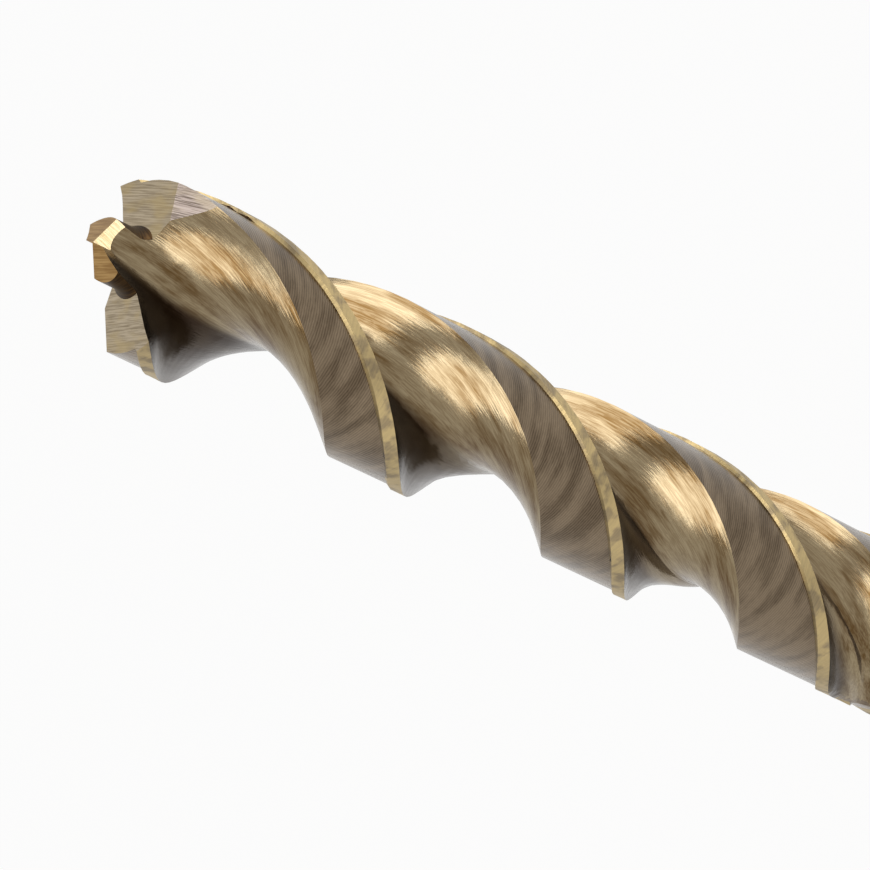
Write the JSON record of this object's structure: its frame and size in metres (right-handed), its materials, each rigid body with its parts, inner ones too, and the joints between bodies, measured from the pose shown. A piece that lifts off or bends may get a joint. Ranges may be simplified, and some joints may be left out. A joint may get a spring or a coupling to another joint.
{
  "type": "twist drill bit",
  "caption": "Right-hand twist drill bit with helical flutes, narrow margins, a ground shoulder and a small pilot point.",
  "frame": {"origin": "centre of the flat end of the shank", "axes": "+Z along the drill's axis, from the shank towards the point; +X along the outer lip of one land at the shoulder"},
  "size_m": [0.013, 0.013, 0.151],
  "materials": {
    "steel": "satin, bronze oxide"
  },
  "bodies": {
    "root": {"drill_bit": "steel"}
  },
  "joints": []
}
